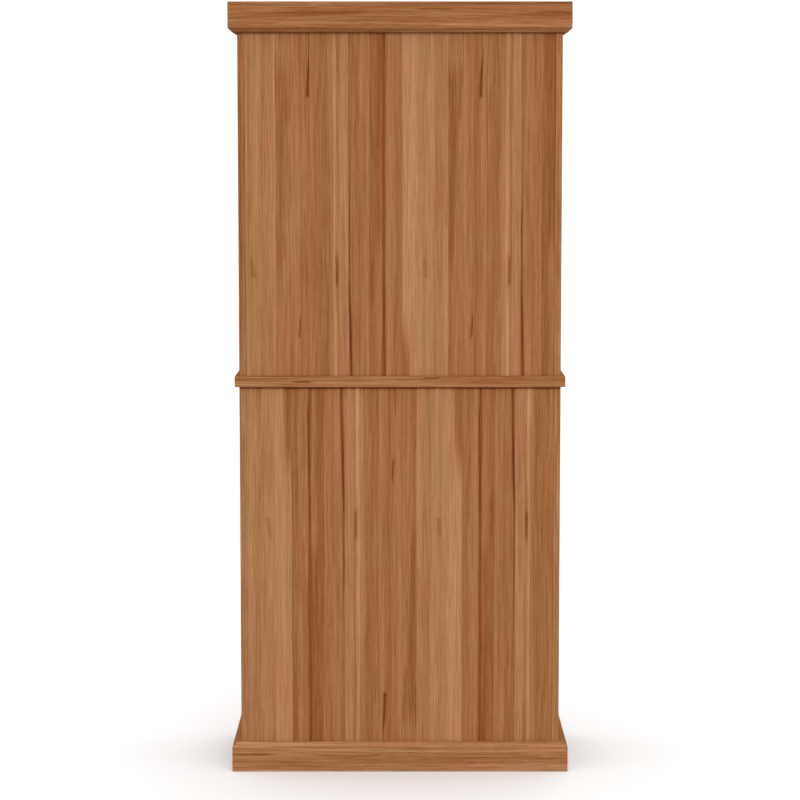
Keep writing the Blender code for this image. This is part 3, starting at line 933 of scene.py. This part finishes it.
LEAF_THICKNESS = 0.0014
LEAF_OFFSET = 0.0002
LEAF_ROOT = 0.0026
LEAF_CORNER = 0.0020
KNUCKLE_GAP = 0.0003
PIN_RADIUS = 0.0015
BORE_RADIUS = 0.0018
KNUCKLE_BEVEL = 0.0003
TIP_HEIGHT = 0.0018
TIP_BEVEL = 0.0008
# The plate's ends and cuts lie this far inside the knuckles' ends, for a clean union.
PLATE_SHORT = 0.00003
HINGE_SCREW_RADIUS, HINGE_SCREW_LENGTH = 0.0025, 0.012
HINGE_SCREW_SHARE = 0.33
HINGE_SCREW_EDGES = (0.0060, 0.0095, 0.0060)
HINGE_SCREW_DEEP = 0.00008
SINK_DEPTH, SINK_FOOT, SINK_MARGIN = 0.0022, 0.0008, 0.0002
SINK_SEGMENTS, KNUCKLE_SEGMENTS = 32, 40


def leaf_plate(low, high, corner, all_round=False):
    """A plate in the YZ plane with rounded corners at its free (+Y) end, or all round."""
    shape = bmesh.new()
    radii = (corner, corner)
    outline = arc((high.y - corner, low.z + corner), radii, -90, 0, 6)
    outline += arc((high.y - corner, high.z - corner), radii, 0, 90, 6)
    if all_round:
        outline += arc((low.y + corner, high.z - corner), radii, 90, 180, 6)
        outline += arc((low.y + corner, low.z + corner), radii, 180, 270, 6)
    else:
        outline += [(low.y, high.z), (low.y, low.z)]
    face = shape.faces.new([shape.verts.new((low.x, y, z)) for y, z in outline])
    pushed = bmesh.ops.extrude_face_region(shape, geom=[face])["geom"]
    verts = [item for item in pushed if isinstance(item, bmesh.types.BMVert)]
    bmesh.ops.translate(shape, vec=(high.x - low.x, 0, 0), verts=verts)
    return mesh_of(shape)


def rod(radius, low, high, bevel=KNUCKLE_BEVEL):
    """An upright round rod between two heights, with bevelled ends."""
    outline = [
        (0.0, low),
        (radius - bevel, low),
        (radius, low + bevel),
        (radius, high - bevel),
        (radius - bevel, high),
        (0.0, high),
    ]
    return mesh_of(turned(outline, KNUCKLE_SEGMENTS))


def hinge_barrel(radius, length, knuckle):
    """The frame leaf's two outer knuckles, with the pin between them and its tips."""
    tip = radius * 0.72
    end = length / 2
    upper = [
        (PIN_RADIUS, end - knuckle),
        (radius - KNUCKLE_BEVEL, end - knuckle),
        (radius, end - knuckle + KNUCKLE_BEVEL),
        (radius, end - KNUCKLE_BEVEL),
        (radius - KNUCKLE_BEVEL, end),
        (tip, end),
        (tip, end + TIP_HEIGHT - TIP_BEVEL),
        (tip - TIP_BEVEL, end + TIP_HEIGHT),
        (0.0, end + TIP_HEIGHT),
    ]
    lower = [(out, -height) for out, height in reversed(upper)]
    return mesh_of(turned(lower + upper, KNUCKLE_SEGMENTS))


def hinge_parts():
    """Mesh, screw places and facing of both leaves of a left-hand hinge, about its axis."""
    low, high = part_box("upper_left_bottom_hinge_frame_leaf")
    axis_y = frame["joints"][0]["pos_m"][1]
    radius = axis_y - low.y
    reach = high.y - axis_y
    length = high.z - low.z
    knuckle = (length - 2 * KNUCKLE_GAP) / 3
    pitch = knuckle + KNUCKLE_GAP
    screw_heights = (-length * HINGE_SCREW_SHARE, 0.0, length * HINGE_SCREW_SHARE)
    screw_ys = [reach - edge for edge in HINGE_SCREW_EDGES]
    sink_outline = [
        (0.0, SINK_MARGIN),
        (HINGE_SCREW_RADIUS + SINK_MARGIN, SINK_MARGIN),
        (SINK_FOOT, -SINK_DEPTH),
        (0.0, -SINK_DEPTH),
    ]

    leaves = {}
    for kind, x_low, clear in (
        ("frame", -LEAF_OFFSET - LEAF_THICKNESS, (0.0,)),
        ("door", LEAF_OFFSET, (-pitch, pitch)),
    ):
        x_high = x_low + LEAF_THICKNESS
        end = length / 2 - PLATE_SHORT
        plate = leaf_plate(Vector((x_low, LEAF_ROOT, -end)), Vector((x_high, reach, end)), LEAF_CORNER)
        steps = []
        gap = radius + KNUCKLE_GAP
        half = knuckle / 2 + KNUCKLE_GAP + PLATE_SHORT
        for height in clear:
            cut = block((-gap, -gap, height - half), (gap, gap, height + half))
            steps.append((mesh_of(cut), "DIFFERENCE"))
        if kind == "door":
            steps.append((rod(radius, -knuckle / 2, knuckle / 2), "UNION"))
            steps.append((rod(BORE_RADIUS, -length, length, bevel=0.0), "DIFFERENCE"))
        else:
            steps.append((hinge_barrel(radius, length, knuckle), "UNION"))
        face, facing = (x_high, 1) if kind == "frame" else (x_low, -1)
        turn = Matrix.Rotation(facing * math.pi / 2, 4, "Y")
        heads = [Vector((face, y, z)) for y, z in zip(screw_ys, screw_heights)]
        for head in heads:
            sink = moved(mesh_of(turned(sink_outline, SINK_SEGMENTS)), Matrix.Translation(head) @ turn)
            steps.append((sink, "DIFFERENCE"))
        mesh = combined(plate, steps)
        mesh.shade_smooth()
        mesh.set_sharp_from_angle(angle=math.radians(28))
        leaves[kind] = (mesh, heads, facing)
    return leaves


def build_hinges(section, side, leaves, looks):
    """Both hinges of a door. The right-hand ones are turned half round about Y."""
    door = f"{section}_{side}_door"
    axis = next(joint for joint in frame["joints"] if joint["child"] == door)["pos_m"]
    half_turn = Matrix.Rotation(0.0 if side == "left" else math.pi, 4, "Y")
    for end in ("bottom", "top"):
        hinge = f"{section}_{side}_{end}_hinge"
        low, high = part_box(f"{hinge}_frame_leaf")
        place = Matrix.Translation((axis[0], axis[1], (low.z + high.z) / 2)) @ half_turn
        for kind, body in (("frame", "carcass"), ("door", door)):
            mesh, heads, facing = leaves[kind]
            name = f"{hinge}_{kind}_plate"
            leaf = new_piece(name, moved(mesh, place), body, looks["bronze"], flat=False)
            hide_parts(f"{hinge}_{kind}_leaf")
            out = half_turn.to_3x3() @ Vector((facing, 0, 0))
            screws(
                f"{hinge}_{kind}_screws",
                looks["hinge_screw"],
                [place @ head - out * HINGE_SCREW_DEEP for head in heads],
                out,
                body,
                looks["bronze"],
            )


# Catches and fixings -----------------------------------------------------------------

MAGNET_X = 0.0110
MAGNET_WIDTH, MAGNET_DEPTH, MAGNET_HEIGHT = 0.0120, 0.0060, 0.0115
POLE_THICKNESS = 0.0012
POLE_PROUD, MAGNET_PROUD = 0.00012, 0.00004
STRIKE_SIZE = (0.0190, 0.0140)
STRIKE_X = MAGNET_X + 0.0015
STRIKE_CORNER = 0.003
STRIKE_PROUD = 0.0001
STRIKE_THICKNESS = 0.0010
CATCH_EDGE, METAL_EDGE = 0.0012, 0.0001
CATCH_SCREW_X, CATCH_SCREW_DROP, CATCH_SCREW_PROUD = 0.0195, 0.006, 0.00005
SMALL_SCREW_RADIUS, SMALL_SCREW_LENGTH = 0.0027, 0.016
CLEAT_SCREW_SHARES = (0.15, 0.5, 0.85)
CLEAT_SCREW_DEEP = 0.0001


def build_catch(section, looks):
    """Magnets between steel poles, fixing screws, and a strike plate on each door."""
    node = f"{section}_catch"
    finish_piece(NODES[node], looks["catch_body"], CATCH_EDGE)
    low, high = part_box(node)
    door_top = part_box(f"{section}_left_door_frame")[1].z
    height = (low.z + min(high.z, door_top)) / 2
    for side, sign in SIDES.items():
        half = MAGNET_WIDTH / 2
        # Where each piece starts and ends from the magnet's middle, going outwards, and
        # how far it stands out of the body.
        pieces = {
            "inner_pole": (-half, POLE_THICKNESS - half, POLE_PROUD),
            "magnet": (POLE_THICKNESS - half, half - POLE_THICKNESS, MAGNET_PROUD),
            "outer_pole": (half - POLE_THICKNESS, half, POLE_PROUD),
        }
        for kind, (start, end, proud) in pieces.items():
            x_low, x_high = sorted(sign * (MAGNET_X + edge) for edge in (start, end))
            shape = block(
                (x_low, low.y - proud, height - MAGNET_HEIGHT / 2),
                (x_high, low.y + MAGNET_DEPTH, height + MAGNET_HEIGHT / 2),
            )
            look = looks["ferrite"] if kind == "magnet" else looks["steel"]
            new_piece(f"{node}_{side}_{kind}", mesh_of(shape), "carcass", look, soft_edge=METAL_EDGE)

        door = f"{section}_{side}_door"
        width, tall = STRIKE_SIZE
        plate = leaf_plate(
            Vector((0.0, -width / 2, -tall / 2)),
            Vector((STRIKE_THICKNESS, width / 2, tall / 2)),
            STRIKE_CORNER,
            all_round=True,
        )
        turn = Matrix.Rotation(math.pi / 2, 4, "Z")
        place = Vector((sign * STRIKE_X, DOOR_REAR + STRIKE_PROUD - STRIKE_THICKNESS, height))
        strike = moved(plate, Matrix.Translation(place) @ turn)
        new_piece(f"{door}_strike_plate", strike, door, looks["steel"], soft_edge=METAL_EDGE)

    if section == "upper":
        places = [(sign * CATCH_SCREW_X, high.y, high.z - CATCH_SCREW_DROP) for sign in (-1, 1)]
        facing = (0, 1, 0)
    else:
        places = [(sign * CATCH_SCREW_X, (low.y + high.y) / 2, low.z) for sign in (-1, 1)]
        facing = (0, 0, -1)
    lifted = [Vector(place) + Vector(facing) * CATCH_SCREW_PROUD for place in places]
    screws(f"{node}_screws", looks["small_screw"], lifted, facing, "carcass", looks["steel"])


def build_cleat_screws(looks):
    """Countersunk screws through each cleat into the side board."""
    for name in NODES:
        if not name.endswith("_cleat"):
            continue
        low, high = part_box(name)
        face, facing = (high.x, 1) if low.x < 0 else (low.x, -1)
        out = Vector((facing, 0, 0))
        length = high.y - low.y
        places = [
            Vector((face, low.y + length * share, (low.z + high.z) / 2)) - out * CLEAT_SCREW_DEEP
            for share in CLEAT_SCREW_SHARES
        ]
        screws(f"{name}_screws", looks["small_screw"], places, out, "carcass", looks["brass"])


# Camera, light and floor -------------------------------------------------------------


def build_camera():
    data = bpy.data.cameras.new("camera")
    data.lens = CAMERA_LENS
    data.clip_end = 200.0
    camera = bpy.data.objects.new("camera", data)
    camera.location = (0.0, REAR + CAMERA_DISTANCE, CAMERA_HEIGHT)
    camera.rotation_euler = (math.pi / 2 - CAMERA_PITCH, 0.0, math.pi)
    bpy.context.scene.collection.objects.link(camera)
    bpy.context.scene.camera = camera


def build_sky():
    """A soft white dome, brighter overhead, which shows as plain white."""
    world = bpy.data.worlds.new("studio")
    world.use_nodes = True
    bpy.context.scene.world = world
    graph = Graph(world.node_tree)
    background = world.node_tree.nodes["Background"]
    rise = graph.split(graph.add("TexCoord").outputs["Generated"])[2]
    lit = graph.spread(rise, 0.0, 1.0, SKY_LOW, SKY_LOW + SKY_RISE, kind="LINEAR")
    seen = graph.add("LightPath").outputs["Is Camera Ray"]
    unseen = graph.math("MULTIPLY", graph.math("SUBTRACT", 1.0, seen), lit)
    strength = graph.math("ADD", graph.scaled(seen, SKY_SEEN), unseen)
    graph.links.new(strength, background.inputs["Strength"])
    background.inputs["Color"].default_value = (1.0, 1.0, 1.0, 1.0)


def build_lamp(name, turn, rise, spread, strength):
    """A far soft lamp, from a turn about Z from +Y and a rise above the floor in degrees."""
    data = bpy.data.lights.new(name, "SUN")
    data.angle = math.radians(spread)
    data.energy = strength
    lamp = bpy.data.objects.new(name, data)
    lamp.rotation_euler = (math.radians(rise - 90), 0.0, math.radians(turn))
    bpy.context.scene.collection.objects.link(lamp)


def build_floor():
    """A wide pale floor. It gives back less light than it shows, like a shaded studio."""
    shape = bmesh.new()
    bmesh.ops.create_grid(shape, x_segments=1, y_segments=1, size=FLOOR_SIZE / 2)
    floor = bpy.data.objects.new("floor", mesh_of(shape))
    bpy.context.scene.collection.objects.link(floor)
    made, graph, shader = new_material("pale_floor", (0.9, 0.9, 0.9))
    shader.inputs["Roughness"].default_value = 1.0
    shader.inputs["Specular IOR Level"].default_value = 0.0
    seen = graph.add("LightPath").outputs["Is Camera Ray"]
    grey = graph.spread(seen, 0.0, 1.0, FLOOR_BOUNCE, FLOOR_SEEN, kind="LINEAR")
    graph.links.new(graph.vector(grey, grey, grey), shader.inputs["Base Color"])
    floor.data.materials.append(made)


def build_scene():
    build_camera()
    build_sky()
    for lamp in LAMPS:
        build_lamp(*lamp)
    build_floor()
    bpy.context.scene.view_settings.view_transform = "Standard"

    woods = build_woods()
    looks = {
        "bronze": metal("dark_bronze", (0.050, 0.032, 0.022), (0.20, 0.115, 0.060), 0.40, 0.9),
        "steel": metal("zinc_steel", (0.50, 0.49, 0.47), (0.64, 0.63, 0.60), 0.34),
        "brass": metal("brass", (0.50, 0.34, 0.14), (0.66, 0.48, 0.22), 0.34),
        "ferrite": plastic("ferrite", (0.035, 0.034, 0.036)),
        "catch_body": plastic("catch_plastic", (0.12, 0.075, 0.050)),
        "hinge_screw": flat_screw(HINGE_SCREW_RADIUS, HINGE_SCREW_LENGTH),
        "small_screw": flat_screw(SMALL_SCREW_RADIUS, SMALL_SCREW_LENGTH),
        "pan_screw": pan_screw(KNOB_SCREW_RADIUS, KNOB_SCREW_LENGTH),
    }
    dress_boards(woods)
    leaves = hinge_parts()
    for section, side in DOORS:
        build_door_frame(section, side, woods)
        build_knob(section, side, looks)
        build_hinges(section, side, leaves, looks)
    for section in SECTIONS:
        build_catch(section, looks)
    build_cleat_screws(looks)


build_scene()

bpy.context.view_layer.update()
